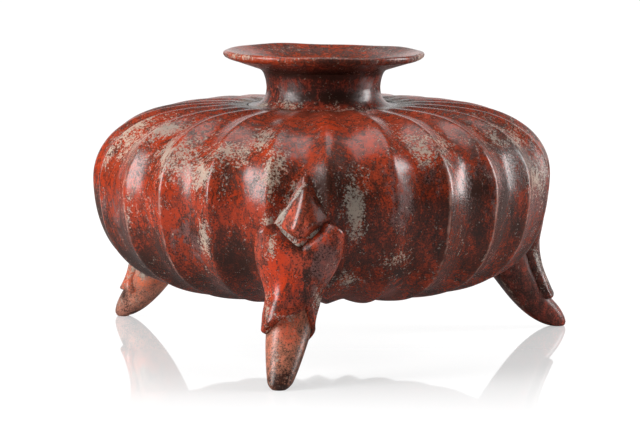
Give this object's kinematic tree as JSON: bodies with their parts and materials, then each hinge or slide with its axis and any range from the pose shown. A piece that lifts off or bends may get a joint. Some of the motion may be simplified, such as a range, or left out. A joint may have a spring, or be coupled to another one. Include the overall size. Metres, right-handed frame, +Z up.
{
  "type": "tripod vessel",
  "caption": "Wide ribbed clay vessel shaped like a squash, with a short waisted neck and flared rim, standing on bird-shaped supports with pointed heads, folded wings and tails for feet.",
  "frame": {"origin": "on the floor, under the middle of the vessel's bounding box", "axes": "+Z up through the mouth, -Y towards the front support, +X to the viewer's right"},
  "size_m": [0.355, 0.37, 0.2185],
  "materials": {
    "bowl_slip": "satin",
    "shoulder_slip": "satin",
    "neck_slip": "satin",
    "rim_slip": "satin",
    "tail_slip": "satin",
    "head_slip": "satin",
    "left_wing_slip": "satin",
    "right_wing_slip": "satin"
  },
  "bodies": {
    "root": {"lower_bowl": "bowl_slip", "upper_body": "shoulder_slip", "neck_collar": "neck_slip", "rim_lip": "rim_slip", "front_leg": "tail_slip", "front_head": "head_slip", "front_left_wing": "left_wing_slip", "front_right_wing": "right_wing_slip", "right_leg": "tail_slip", "right_head": "head_slip", "right_left_wing": "left_wing_slip", "right_right_wing": "right_wing_slip", "left_leg": "tail_slip", "left_head": "head_slip", "left_left_wing": "left_wing_slip", "left_right_wing": "right_wing_slip"}
  },
  "joints": []
}
